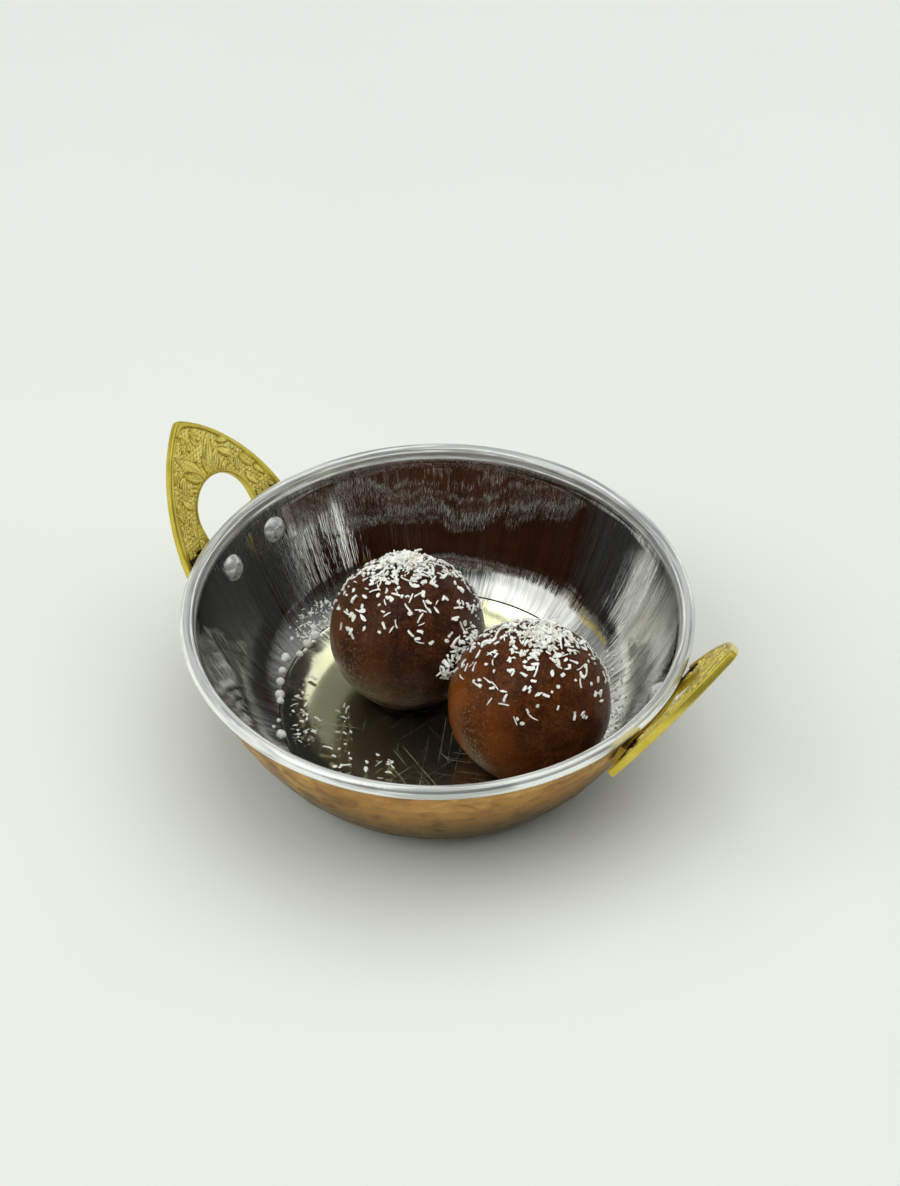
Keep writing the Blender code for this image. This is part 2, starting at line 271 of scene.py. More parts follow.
class Nodes:
    """Short calls for building a node tree."""

    def __init__(self, tree, space):
        self.tree = tree
        self.coords = tree.nodes.new("ShaderNodeTexCoord").outputs[space]

    def link(self, source, target):
        self.tree.links.new(source, target)

    def node(self, kind, **inputs):
        """A node with its inputs set by name, or by number as i0, i1."""
        node = self.tree.nodes.new(kind)
        for key, value in inputs.items():
            socket = node.inputs[int(key[1:])] if key[0] == "i" and key[1:].isdigit() else node.inputs[key]
            if isinstance(value, bpy.types.NodeSocket):
                self.link(value, socket)
            else:
                socket.default_value = value
        return node

    def math(self, operation, a, b=0.0, c=0.0):
        """One sum on numbers or sockets."""
        node = self.tree.nodes.new("ShaderNodeMath")
        node.operation = operation
        for socket, value in zip(node.inputs, (a, b, c)):
            if isinstance(value, bpy.types.NodeSocket):
                self.link(value, socket)
            else:
                socket.default_value = value
        return node.outputs[0]

    def noise(self, scale, detail=2.0, roughness=0.5, distortion=0.0, vector=None, stretch=None):
        vector = vector or self.coords
        if stretch:
            mapping = self.node("ShaderNodeMapping", Vector=vector)
            mapping.inputs["Scale"].default_value = stretch
            vector = mapping.outputs[0]
        node = self.node("ShaderNodeTexNoise", Vector=vector, Scale=scale, Detail=detail,
                         Roughness=roughness, Distortion=distortion)
        return node.outputs["Fac"]

    def attribute(self, name):
        node = self.tree.nodes.new("ShaderNodeAttribute")
        node.attribute_name = name
        return node.outputs["Fac"]

    def ramp(self, source, low, high):
        """A smooth step from 0 where the source is low to 1 where it is high."""
        node = self.tree.nodes.new("ShaderNodeMapRange")
        node.interpolation_type = "SMOOTHSTEP"
        self.link(source, node.inputs["Value"])
        node.inputs["From Min"].default_value = low
        node.inputs["From Max"].default_value = high
        return node.outputs["Result"]

    def mix(self, factor, first, second):
        """Colour mix; a tuple is a plain colour."""
        node = self.tree.nodes.new("ShaderNodeMix")
        node.data_type = "RGBA"
        sockets = [s for s in node.inputs if s.type == "RGBA"]
        self.link(factor, node.inputs["Factor"])
        for socket, value in zip(sockets, (first, second)):
            if isinstance(value, bpy.types.NodeSocket):
                self.link(value, socket)
            else:
                socket.default_value = (*value, 1.0)
        return next(s for s in node.outputs if s.type == "RGBA")

    def bump(self, height, distance, strength=1.0, normal=None):
        """A bump normal; the distance is in millimetres."""
        node = self.tree.nodes.new("ShaderNodeBump")
        node.inputs["Distance"].default_value = distance * MM
        node.inputs["Strength"].default_value = strength
        self.link(height, node.inputs["Height"])
        if normal:
            self.link(normal, node.inputs["Normal"])
        return node.outputs["Normal"]

    def round_coords(self, turns, rises):
        """Coordinates that follow a turned surface: angle round Z, and distance from the base's middle."""
        split = self.node("ShaderNodeSeparateXYZ", Vector=self.coords)
        angle = self.math("ARCTAN2", split.outputs["Y"], split.outputs["X"])
        across = self.math("MULTIPLY", self.math("COSINE", angle), turns)
        along = self.math("MULTIPLY", self.math("SINE", angle), turns)
        around = self.node("ShaderNodeCombineXYZ", X=across, Y=along)
        length = self.node("ShaderNodeVectorMath", i0=self.coords)
        length.operation = "LENGTH"
        rise = self.math("MULTIPLY", length.outputs["Value"], rises)
        upward = self.node("ShaderNodeCombineXYZ", Z=rise)
        total = self.node("ShaderNodeVectorMath", i0=around.outputs[0], i1=upward.outputs[0])
        return total.outputs[0]

    def dot(self, vector, direction):
        node = self.node("ShaderNodeVectorMath", i0=vector, i1=direction)
        node.operation = "DOT_PRODUCT"
        return node.outputs["Value"]


class Look(Nodes):
    """A Principled material; sockets that are the same all over are set by name."""

    def __init__(self, name, **sockets):
        self.material = bpy.data.materials.new(name)
        self.material.use_nodes = True
        self.shader = self.material.node_tree.nodes["Principled BSDF"]
        super().__init__(self.material.node_tree, "Object")
        for key, value in sockets.items():
            self.shader.inputs[key.replace("_", " ")].default_value = value

    def use(self, colour=None, roughness=None, normal=None):
        """Link the parts of the look that vary over the surface."""
        for socket, value in (("Base Color", colour), ("Roughness", roughness), ("Normal", normal)):
            if value is not None:
                self.link(value, self.shader.inputs[socket])
        return self.material


def steel_look():
    """Polished pressed steel: waves and drawn streaks on the wall, scratches on the floor, a lined rim."""
    look = Look("polished steel")
    split = look.node("ShaderNodeSeparateXYZ", Vector=look.coords)
    squares = [look.math("POWER", split.outputs[axis], 2.0) for axis in "XY"]
    radius = look.math("SQRT", look.math("ADD", *squares))
    wall = look.ramp(radius, 34 * MM, 46 * MM)
    floor = look.math("SUBTRACT", 1.0, wall)
    rim = look.ramp(split.outputs["Z"], (BEAD_HEIGHT - 2.4) * MM, (BEAD_HEIGHT - 1.0) * MM)
    waves = look.noise(2.0, 1.0, 0.4, vector=look.round_coords(2.4, 24.0))
    streaks = look.noise(9.0, 4.0, 0.65, vector=look.round_coords(3.0, 5.0))
    rim_lines = look.math("MULTIPLY", look.noise(9.0, 2.0, 0.5, vector=look.round_coords(0.3, 170.0)), rim)
    marks = floor_scratches(look, floor)
    normal = look.bump(look.math("MULTIPLY", waves, wall), 0.75)
    normal = look.bump(look.math("MULTIPLY", streaks, wall), 0.14, 1.0, normal)
    normal = look.bump(rim_lines, 0.16, 1.0, normal)
    normal = look.bump(marks, 0.02, 0.7, normal)
    colour = look.mix(look.ramp(streaks, 0.35, 0.65), (0.66, 0.655, 0.63), (0.92, 0.92, 0.89))
    colour = look.mix(floor, colour, (0.66, 0.655, 0.53))
    rim_colour = look.mix(look.ramp(rim_lines, 0.40, 0.55), (0.56, 0.57, 0.56), (0.97, 0.98, 0.95))
    colour = look.mix(rim, colour, rim_colour)
    roughness = look.math("MULTIPLY_ADD", streaks, 0.05, 0.02)
    roughness = look.math("MULTIPLY_ADD", marks, 0.25, roughness)
    roughness = look.math("MULTIPLY_ADD", rim, 0.12, roughness)
    roughness = look.math("MULTIPLY_ADD", floor, 0.07, roughness)
    look.link(look.math("MULTIPLY_ADD", rim, -0.34, 1.0), look.shader.inputs["Metallic"])
    return look.use(colour, roughness, normal)


def floor_scratches(look, floor):
    """Thin straight scratches in four directions, in worn patches, faded out at the wall."""
    marks = None
    for turn in (0.3, 1.2, 2.0, 2.7):
        along = look.node("ShaderNodeMapping", Vector=look.coords)
        along.inputs["Rotation"].default_value = (0.0, 0.0, turn)
        hairs = look.noise(3000.0, 1.0, 0.4, 0.2, vector=along.outputs[0], stretch=(1.0, 0.010, 0.2))
        hairs = look.ramp(hairs, 0.68, 0.74)
        marks = look.math("MAXIMUM", marks, hairs) if marks else hairs
    worn = look.ramp(look.noise(45.0, 2.0, 0.5), 0.38, 0.62)
    return look.math("MULTIPLY", marks, look.math("MULTIPLY", worn, floor))


def copper_look():
    """Golden copper with hammered shading and brown tarnish in patches, with painted shade darkening it
    towards the base.
    """
    look = Look("hammered copper", Metallic=1.0, Specular_Tint=(0.93, 0.82, 0.66, 1.0))
    split = look.node("ShaderNodeSeparateXYZ", Vector=look.coords)
    patches = look.noise(150.0, 3.0, 0.6, 0.6)
    smears = look.noise(26.0, 2.0, 0.5)
    fine = look.noise(900.0, 3.0, 0.6)
    # Painted shade: the colour darkens towards the base, where the lower wall is in shade.
    low = look.math("SUBTRACT", 1.0, look.ramp(split.outputs["Z"], 5 * MM, 31 * MM))
    warm = look.mix(look.ramp(patches, 0.36, 0.64), (0.40, 0.20, 0.065), (0.82, 0.53, 0.18))
    warm = look.mix(look.ramp(smears, 0.40, 0.66), warm, (0.60, 0.31, 0.105))
    base = look.math("MULTIPLY", low, 0.95)
    # Patchy tarnish plus the painted shade towards the base, both mixing in dark brown.
    tarnish_and_base_shade = look.math("MULTIPLY_ADD", look.ramp(patches, 0.48, 0.30), 0.40, base)
    colour = look.mix(tarnish_and_base_shade, warm, (0.075, 0.042, 0.013))
    roughness = look.math("MULTIPLY_ADD", patches, 0.22, 0.14)
    normal = look.bump(fine, 0.02, 0.5, look.bump(patches, 0.12, 0.8))
    return look.use(colour, roughness, normal)


def brass_look():
    """Cast brass: a plain border, a paler ornamented field, painted shade in the hollows of its relief, and
    soot near the feet.
    """
    look = Look("cast brass", Metallic=0.68)
    relief = look.attribute("relief")
    patches = look.noise(160.0, 4.0, 0.65)
    grain = look.noise(1500.0, 3.0, 0.6)
    pits = look.ramp(look.noise(520.0, 2.0, 0.5), 0.70, 0.76)
    border = look.mix(look.ramp(patches, 0.3, 0.7), (0.57, 0.435, 0.050), (0.72, 0.58, 0.090))
    field = look.mix(look.ramp(patches, 0.3, 0.7), (0.80, 0.63, 0.115), (0.96, 0.82, 0.220))
    bright = look.mix(look.attribute("field"), border, field)
    # Painted shade: the hollows and grooves of the relief are darkened in the colour.
    shaded_hollows = look.math("SUBTRACT", 1.0, look.ramp(relief, -0.15, 0.32))
    colour = look.mix(look.math("MULTIPLY", shaded_hollows, 0.80), bright, (0.26, 0.180, 0.020))
    near_foot = look.math("MULTIPLY_ADD", patches, 0.9, look.attribute("soot"))
    burnt = look.ramp(look.math("MULTIPLY_ADD", shaded_hollows, 0.35, near_foot), 1.05, 1.22)
    dirt = look.math("MAXIMUM", look.math("MULTIPLY", pits, 0.8), burnt)
    colour = look.mix(dirt, colour, (0.040, 0.024, 0.008))
    roughness = look.math("MULTIPLY_ADD", shaded_hollows, 0.20, 0.26)
    normal = look.bump(grain, 0.03, 0.7, look.bump(patches, 0.08, 0.5))
    return look.use(colour, roughness, normal)


def rivet_look():
    """Grey rivet metal, unevenly dulled."""
    look = Look("dull rivet metal", Metallic=0.70)
    patches = look.noise(700.0, 4.0, 0.7)
    colour = look.mix(look.ramp(patches, 0.3, 0.7), (0.62, 0.62, 0.60), (0.94, 0.94, 0.92))
    normal = look.bump(look.noise(900.0, 3.0, 0.6), 0.05, 0.8)
    return look.use(colour, look.math("MULTIPLY_ADD", patches, 0.20, 0.18), normal)


def jamun_look(name, lean, dark, warm, glow):
    """Fried crust soaked in syrup: mottled browns, a painted warm glow low on the lamp's side, and pale
    flecks of painted sheen in the grain, stronger on that side.
    """
    look = Look(name, Coat_Weight=0.38, Coat_Roughness=0.15, Coat_IOR=1.38, Specular_IOR_Level=0.05)
    mottle = look.noise(190.0, 6.0, 0.7, 0.3)
    blotch = look.noise(55.0, 2.0, 0.5)
    side = look.dot(look.coords, lean)
    # Painted glow: warm clear blotches low on the side that faces the lamp.
    lit_glow = look.math("MULTIPLY", look.ramp(side, 3 * MM, 18 * MM), look.ramp(blotch, 0.26, 0.58))
    rough_skin = look.math("SUBTRACT", 1.0, look.math("MULTIPLY", lit_glow, 0.8))
    grain = look.noise(1300.0, 3.0, 0.75, 1.0)
    pores = look.math("MULTIPLY", look.ramp(grain, 0.50, 0.40), 0.65)
    skin = look.mix(look.ramp(mottle, 0.38, 0.64), dark, warm)
    skin = look.mix(pores, skin, tuple(0.35 * c for c in dark))
    colour = look.mix(lit_glow, skin, glow)
    # Painted sheen: pale flecks in the grain, brightest on the lamp's side.
    sheen_flecks = look.math("MULTIPLY", look.ramp(grain, 0.55, 0.66), rough_skin)
    lit = look.math("MULTIPLY_ADD", look.ramp(side, 8 * MM, 20 * MM), 0.80, 0.07)
    colour = look.mix(look.math("MULTIPLY", sheen_flecks, lit), colour, (0.66, 0.47, 0.26))
    wrinkles = look.noise(340.0, 3.0, 0.6, 1.5)
    normal = look.bump(look.math("MULTIPLY", wrinkles, rough_skin), 0.55, 1.0)
    normal = look.bump(look.math("MULTIPLY", grain, rough_skin), 0.60, 1.0, normal)
    wet = look.bump(look.math("MULTIPLY_ADD", grain, 0.5, wrinkles), 0.16, 1.0)
    look.link(wet, look.shader.inputs["Coat Normal"])
    return look.use(colour, look.math("MULTIPLY_ADD", mottle, 0.3, 0.25), normal)


def syrup_look():
    """Clear pale syrup, darkened by painted shadow where its points carry a shade."""
    look = Look("sugar syrup", Roughness=0.0, IOR=1.40, Transmission_Weight=0.99)
    depth = look.noise(60.0, 2.0, 0.5)
    colour = look.mix(look.ramp(depth, 0.3, 0.7), (0.88, 0.87, 0.66), (0.95, 0.94, 0.80))
    # Painted shadow and dark reflection round each sweet's foot.
    colour = look.mix(look.attribute("shade"), colour, (0.045, 0.030, 0.015))
    return look.use(colour, None, look.bump(look.noise(120.0, 2.0, 0.5), 0.05, 0.4))


def drop_look():
    """Pale cloudy drops."""
    look = Look("cloudy drops", Roughness=0.12, Subsurface_Weight=0.3, Subsurface_Scale=0.0008)
    tone = look.noise(700.0, 3.0, 0.6)
    colour = look.mix(look.ramp(tone, 0.35, 0.65), (0.74, 0.73, 0.68), (0.96, 0.95, 0.91))
    return look.use(colour, None, look.bump(tone, 0.12, 0.8))


def coconut_look():
    """Dry white coconut flesh, a little creamy in places."""
    look = Look("desiccated coconut", Roughness=0.5, Subsurface_Weight=0.15, Subsurface_Scale=0.0006)
    fibre = look.noise(1600.0, 3.0, 0.6, stretch=(1.0, 0.3, 1.0))
    tone = look.noise(420.0, 2.0, 0.5)
    colour = look.mix(look.ramp(tone, 0.3, 0.6), (0.84, 0.81, 0.72), (0.98, 0.97, 0.93))
    return look.use(colour, None, look.bump(fibre, 0.06, 0.8))


def floor_look():
    """A plain pale table."""
    look = Look("pale table", Roughness=0.6)
    tone = look.noise(6.0, 2.0, 0.5)
    colour = look.mix(look.ramp(tone, 0.2, 0.8), (0.79, 0.815, 0.785), (0.81, 0.835, 0.805))
    return look.use(colour, None, look.bump(look.noise(300.0, 2.0, 0.5), 0.02, 0.3))


# Bowl

def steel_profile():
    """The liner's section: floor, wall, a slightly bowed lip, the rolled bead and the outside."""
    inner = wall_arc(STEEL_OFFSET, STEEL_FILLET, FLOOR, BEAD_HEIGHT - LIP_DROP, 10, 18, 22)
    lip_r, lip_z = inner[-1]
    lip_end = (RIM_RADIUS - 2 * BEAD_RADIUS + 0.05, BEAD_HEIGHT - 0.35)
    lean = math.atan2(lip_end[0] - lip_r, lip_end[1] - lip_z)
    lip = []
    for i in range(1, LIP_STEPS):
        t = i / LIP_STEPS
        bow = LIP_BOW * math.sin(math.pi * t)
        radius = lip_r + (lip_end[0] - lip_r) * t - bow * math.cos(lean)
        height = lip_z + (lip_end[1] - lip_z) * t + bow * math.sin(lean)
        lip.append((radius, height))
    centre = RIM_RADIUS - BEAD_RADIUS
    bead = []
    for i in range(29):
        a = math.radians(190 - 330 * i / 28)
        bead.append((centre + BEAD_RADIUS * math.cos(a), BEAD_HEIGHT + BEAD_RADIUS * math.sin(a)))
    outer = wall_arc(STEEL_OUTSIDE, STEEL_FILLET + 0.8, -STEEL_OUTSIDE, COPPER_TOP, 2, 8, 10)
    return inner + lip + bead + outer[::-1]


def bowl_pieces():
    """The steel liner and the hammered copper outside it."""
    points, faces = turned(steel_profile(), 288)
    steel = add_piece("steel_bowl", points, faces, "steel_liner", slot="steel")
    steel.data.materials.append(steel_look())

    segments = 360
    outside = wall_arc(0.0, COPPER_FILLET, 0.0, COPPER_TOP - COPPER_EASE, 6, 22, 56)
    inside = wall_arc(-COPPER_WALL, COPPER_FILLET - COPPER_WALL, COPPER_WALL, COPPER_TOP, 1, 4, 6)
    points, faces = turned(outside + [(outside[-1][0] - 0.2, COPPER_TOP)] + inside[::-1], segments)
    hammer(points, len(outside), segments)
    copper = add_piece("copper_body", points, faces, "copper_shell", slot="copper")
    copper.data.materials.append(copper_look())


def hammer(points, rows, segments):
    """Shallow hammer marks in staggered rows round the outside of the wall."""
    row_pitch = 4.6
    mark_pitch = 6.4
    mark_radius = 3.6
    mark_depth = 0.34
    rng = np.random.default_rng(11)
    marks = []
    for row, height in enumerate(np.arange(3.0, 37.0, row_pitch)):
        radius = wall_radius(min(max(height, 8.0), 36.0))
        count = int(math.tau * radius / mark_pitch)
        for k in range(count):
            angle = math.tau * (k + 0.5 * (row % 2)) / count + rng.uniform(-0.02, 0.02)
            marks.append((angle, radius, height + rng.uniform(-0.7, 0.7)))
    angle, radius, height = np.array(marks).T
    centres = np.stack([radius * np.cos(angle), radius * np.sin(angle), height], -1)
    for row in range(4, rows - 2):
        part = points[(row - 1) * segments:row * segments]
        gap = np.sqrt(((part[:, None] - centres[None]) ** 2).sum(-1)).min(1)
        depth = mark_depth * np.clip(1 - (gap / mark_radius) ** 2, -0.3, 1)
        fade = min(1.0, (rows - 2 - row) / 5, (row - 3) / 6)
        ring = np.hypot(part[:, 0], part[:, 1])
        part[:, :2] *= (1 - depth * fade / ring)[:, None]


# Handles

def resampled(curve, count):
    """Points evenly spaced along a curve."""
    curve = np.asarray(curve)
    steps = np.hypot(*np.diff(curve, axis=0).T)
    along = np.concatenate([[0], np.cumsum(steps)])
    want = np.linspace(0, along[-1], count)
    return np.stack([np.interp(want, along, curve[:, k]) for k in range(2)], -1)


def handle_edges(count):
    """Matching points along the outside and the gap's edge, from foot to foot."""
    p = [np.array(c) for c in HANDLE_OUTLINE]
    t = np.linspace(0, 1, 200)[:, None]
    side = (1 - t) ** 3 * p[0] + 3 * t * (1 - t) ** 2 * p[1] + 3 * t ** 2 * (1 - t) * p[2] + t ** 3 * p[3]
    outer = resampled(np.vstack([side * (-1, 1), side[::-1][1:]]), count)
    middle = count // 2
    soft = outer.copy()
    for i in range(middle - 8, middle + 9):
        soft[i] = outer[i - 6:i + 7].mean(0)
    turn = np.linspace(math.pi, 0, 80)
    arch = np.stack([HOLE_RADIUS * np.cos(turn), HOLE_CENTRE + HOLE_RADIUS * np.sin(turn)], -1)
    foot = HANDLE_OUTLINE[0][1]
    gap = np.vstack([[(-HOLE_RADIUS, foot)], arch, [(HOLE_RADIUS, foot)]])
    return soft, resampled(gap, count)


def leaf(s, q, root, angle, length, width, bend):
    """Height and outline groove of a pointed leaf with a central vein."""
    x = (s - root[0]) * math.cos(angle) + (q - root[1]) * math.sin(angle)
    y = -(s - root[0]) * math.sin(angle) + (q - root[1]) * math.cos(angle)
    y = y - bend * (x / length) ** 2 * length
    t = np.clip(x / length, 0, 1)
    half = width * np.sin(math.pi * t ** 0.8) ** 0.8 + 1e-6
    inside = (x > 0) & (x < length) & (abs(y) < half)
    dome = np.sqrt(np.clip(1 - (y / half) ** 2, 0, 1))
    vein = 0.45 * np.exp(-(y / 0.12) ** 2)
    ribs = 0.16 * np.sin((x + abs(y) * 0.9) * 7.5) * (width > 1.05)
    outline = np.exp(-((abs(y) - half - 0.10) / 0.14) ** 2) * (x > -0.1) * (x < length + 0.1)
    return np.where(inside, dome * (1 - vein) + ribs * dome, 0.0), outline


def grapes(s, q, centre, radius):
    """A round cluster of small beads."""
    row_pitch = GRAPE_PITCH * GRAPE_ROW_SHARE
    row = np.round((q - centre[1]) / row_pitch)
    shift = 0.5 * (row % 2)
    column = np.round((s - centre[0]) / GRAPE_PITCH - shift)
    x = s - centre[0] - (column + shift) * GRAPE_PITCH
    y = q - centre[1] - row * row_pitch
    near = np.hypot(s - centre[0], q - centre[1]) < radius
    return np.where(near, np.sqrt(np.clip(1 - (x ** 2 + y ** 2) / GRAPE_RADIUS ** 2, 0, 1)), 0.0), near


def ornament(s, q):
    """Cast relief: slim buds and feathered leaves over the gap, leaves and grape clusters down each arm."""
    side = abs(s)
    relief, grooves = np.zeros(s.shape), np.zeros(s.shape)
    for root, angle, length, width, bend in LEAVES:
        height, outline = leaf(side, q, root, math.radians(angle), length, width, bend)
        relief = np.maximum(relief, height)
        grooves = np.maximum(grooves, outline * (height <= 0))
    for centre, radius in CLUSTERS:
        height, near = grapes(side, q, centre, radius)
        free = near & (relief <= 0)
        relief = np.where(free, 0.9 * height, relief)
        grooves = np.where(free, 0.8 * (height <= 0.15), grooves)
    beads, _ = grapes(side, q, (0.0, 12.0), 99.0)
    return np.where(relief > 0.02, 0.40 + 0.70 * relief, 0.16 + 0.26 * beads) - 0.40 * grooves


def handle_plate(count=460, rows=60, back_rows=10):
    """Points (s, q, n) and faces of one plate, with its relief, soot and ornamented field at each point."""
    outer, gap = handle_edges(count)
    v = np.linspace(0, 1, rows)[None, :, None]
    flat = gap[:, None] * (1 - v) + outer[:, None] * v
    s, q = flat[..., 0], flat[..., 1]
    width = np.hypot(*(outer - gap).T)[:, None]
    from_gap = v[..., 0] * width
    from_edge = (1 - v[..., 0]) * width
    crown = np.clip(1 - abs(s) / 6.0, 0, 1) * np.clip((q - 22) / 5, 0, 1)
    border = np.minimum(from_edge - BORDER_OUTSIDE - 0.5 * crown, from_gap - BORDER_INSIDE)
    field = np.clip(border / 0.28, 0, 1)
    field = field * field * (3 - 2 * field)
    relief = ornament(s, q)
    groove = np.exp(-((border + 0.05) / 0.16) ** 2)
    height = RELIEF_DEPTH * (relief - 1) * field - 0.16 * groove
    for distance in (from_edge, from_gap):
        near = np.clip(HANDLE_EASE - distance, 0, HANDLE_EASE)
        height = height - HANDLE_EASE + np.sqrt(np.clip(HANDLE_EASE ** 2 - near ** 2, 0, None))
    front = np.stack([s, q, -height], -1)
    points = np.concatenate([front, handle_back(outer, gap, back_rows)], 1)
    faces = capped_faces(count, points.shape[1])
    # The relief tone also sets where the brass colour gets painted shade, in its hollows and the border
    # groove.
    level = np.where(field > 0.5, relief, 1.0) - 0.7 * groove
    soot = np.clip((5.0 - q) / 9.0, 0, 1) * field
    tones = []
    for tone, behind in ((level, 0.9), (soot, 0.1), (field, 0.0)):
        tones.append(np.concatenate([tone, np.full((count, back_rows), behind)], 1).ravel())
    return points.reshape(-1, 3), faces, tones


def handle_back(outer, gap, rows):
    """The plain back of a plate, from its outside to its gap, with both edges eased."""
    inset = BACK_EASE / np.maximum(np.hypot(*(outer - gap).T)[:, None], 1)
    share = np.clip(np.linspace(1, 0, rows)[None], inset, 1 - inset)
    share[:, 0] = 1
    share[:, -1] = 0
    depth = np.full(share.shape, HANDLE_THICKNESS)
    depth[:, 0] -= BACK_EASE
    depth[:, -1] -= BACK_EASE
    flat = gap[:, None] * (1 - share[..., None]) + outer[:, None] * share[..., None]
    return np.concatenate([flat, depth[..., None]], -1)


def handle_strip(start):
    """The riveted strip that follows the wall, with eased edges."""
    low, high = STRIP_HEIGHTS
    near = METAL_GAP + STRIP_EASE
    far = METAL_GAP + STRIP_THICKNESS - STRIP_EASE
    # (height, distance outside the copper) round the section
    inside = [(height, METAL_GAP) for height in (low + STRIP_EASE, high - STRIP_EASE)]
    down = np.linspace(high - STRIP_EASE, low + STRIP_EASE, 5)
    outside = [(height, METAL_GAP + STRIP_THICKNESS) for height in down]
    section = inside + [(high, near), (high, far)] + outside + [(low, far), (low, near)]
    height = np.array([h for h, _ in section])
    radius = np.array([wall_radius(h, depth) for h, depth in section])
    angles = np.linspace(-STRIP_HALF_ANGLE, STRIP_HALF_ANGLE, 25)[:, None]
    points = np.stack([np.cos(angles) * radius, np.sin(angles) * radius, 0 * angles + height], -1)
    return points.reshape(-1, 3), capped_faces(len(angles), len(section), start)


def handle_pieces():
    """Both cast handles, each a plate and its strip; the left is the right turned half round."""
    look = brass_look()
    up = np.array([math.cos(HANDLE_TILT), 0, math.sin(HANDLE_TILT)])
    out = np.array([math.sin(HANDLE_TILT), 0, -math.cos(HANDLE_TILT)])
    plate, faces, tones = handle_plate()
    across = np.array([0, 1, 0])
    shape = plate[:, :1] * across + plate[:, 1:2] * up + plate[:, 2:] * out
    shape = shape + (HANDLE_FRONT, 0, BEAD_HEIGHT)
    strip, strip_faces = handle_strip(len(shape))
    shape = np.vstack([shape, strip])
    attributes = {}
    for key, tone, on_strip in zip(("relief", "soot", "field"), tones, (0.5, 0.5, 0.0)):
        attributes[key] = np.concatenate([tone, np.full(len(strip), on_strip)])
    for side, sign in (("right", 1), ("left", -1)):
        turned_round = shape * (sign, sign, 1)
        piece = add_piece(f"cast_handle_{side}", turned_round, faces + strip_faces, f"handle_{side}",
                          slot="brass", sharp=55.0, attributes=attributes)
        piece.data.materials.append(look)


# Rivets

def rivet_piece(name, node, place, seed, look):
    """A hand-set head with a small flat in its middle, its shank, and a tail outside."""
    spokes = 40
    under = STEEL_OFFSET - 0.05
    tail = METAL_GAP + STRIP_THICKNESS + 0.05
    rings = []
    for i in range(1, 17):
        share = i / 16
        round_off = max(0.0, share - RIVET_FLAT / RIVET_HEAD) / (1 - RIVET_FLAT / RIVET_HEAD)
        rings.append((RIVET_HEAD * share, under - RIVET_RISE * (1 - round_off ** 1.15) ** 0.70))
    rings += [(RIVET_SHANK, under + 0.02), (RIVET_SHANK, tail - 0.02)]
    rings += [(RIVET_TAIL, tail), (RIVET_TAIL - 0.3, tail + 0.5), (1.4, tail + RIVET_TAIL_RISE - 0.05)]
    points = []
    for radius, height in rings:
        for k in range(spokes):
            turn = math.tau * k / spokes
            x, y = radius * math.cos(turn), radius * math.sin(turn)
            dent = 0.05 * noise.noise(Vector((x * 0.9, y * 0.9, seed)))
            points.append((x, y, height - dent))
    points += [(0, 0, under - RIVET_RISE), (0, 0, tail + RIVET_TAIL_RISE)]
    moved = [place @ Vector(p) for p in points]
    faces = tipped_faces(len(rings), spokes)
    piece = add_piece(name, moved, faces, node, slot="rivet_metal", sharp=24.0)
    piece.data.materials.append(look)


def rivet_pieces():
    """The four rivets, two through each strip."""
    look = rivet_look()
    radius = wall_radius(RIVET_HEIGHT)
    spread = math.asin(RIVET_SPREAD / radius)
    tilt = math.pi - wall_lean(RIVET_HEIGHT)
    seed = 3
    for turn, side in ((0.0, "right"), (math.pi, "left")):
        for sign, end in ((-1, "front"), (1, "back")):
            around = Matrix.Rotation(turn + sign * spread, 4, "Z")
            place = around @ Matrix.Translation((radius, 0, RIVET_HEIGHT)) @ Matrix.Rotation(tilt, 4, "Y")
            rivet_piece(f"set_rivet_{side}_{end}", f"rivet_{side}_{end}", place, seed, look)
            seed += 1


# Sweets

def jamun_piece(name, node, look, seed):
    """A slightly lumpy ball with a pressed foot and a pressed cheek where it meets its neighbour."""
    centre, radius = BALLS[node]
    other, other_radius = next(ball for key, ball in BALLS.items() if key != node)
    bm = bmesh.new()
    bmesh.ops.create_icosphere(bm, subdivisions=6, radius=1.0)
    span = (other - centre).length
    squeeze = (radius + other_radius - span + 0.3) / 2
    towards = (other - centre).normalized()
    for vert in bm.verts:
        d = vert.co.normalized()
        lumps = 0.30 * noise.noise(d * 2.1 + Vector((seed, 0, 0)))
        dimples = 0.12 * noise.noise(d * 5.5 + Vector((0, seed, 0)))
        skin = 0.035 * noise.noise(d * 22.0 + Vector((0, 0, seed)))
        point = d * (radius - 0.12 + (lumps + dimples) + skin)
        over = point.dot(towards) - (radius - squeeze)
        if over > 0:
            point -= towards * over
        point.z = max(point.z, FLOOR + 0.12 - centre.z)
        vert.co = point
    mesh = bpy.data.meshes.new(name)
    bm.to_mesh(mesh)
    bm.free()
    mesh.transform(Matrix.Scale(MM, 4))
    mesh.shade_smooth()
    piece = bpy.data.objects.new(name, mesh)
    piece.location = centre * MM
    bpy.context.scene.collection.objects.link(piece)
    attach(piece, "root")
    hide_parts(node)
    mesh.materials.append(look)


def jamun_pieces():
    """The darker sweet at the left, the warmer one at the right."""
    left = jamun_look("darker fried crust", lean=(-0.62, -0.70, -0.25), dark=(0.042, 0.011, 0.0035),
                      warm=(0.108, 0.029, 0.0085), glow=(0.125, 0.044, 0.0130))
    right = jamun_look("warmer fried crust", lean=(-0.62, -0.74, -0.25), dark=(0.064, 0.016, 0.0025),
                       warm=(0.155, 0.040, 0.0060), glow=(0.225, 0.054, 0.0030))
    jamun_piece("jamun_left", "gulab_jamun_left", left, 5.0)
    jamun_piece("jamun_right", "gulab_jamun_right", right, 9.0)


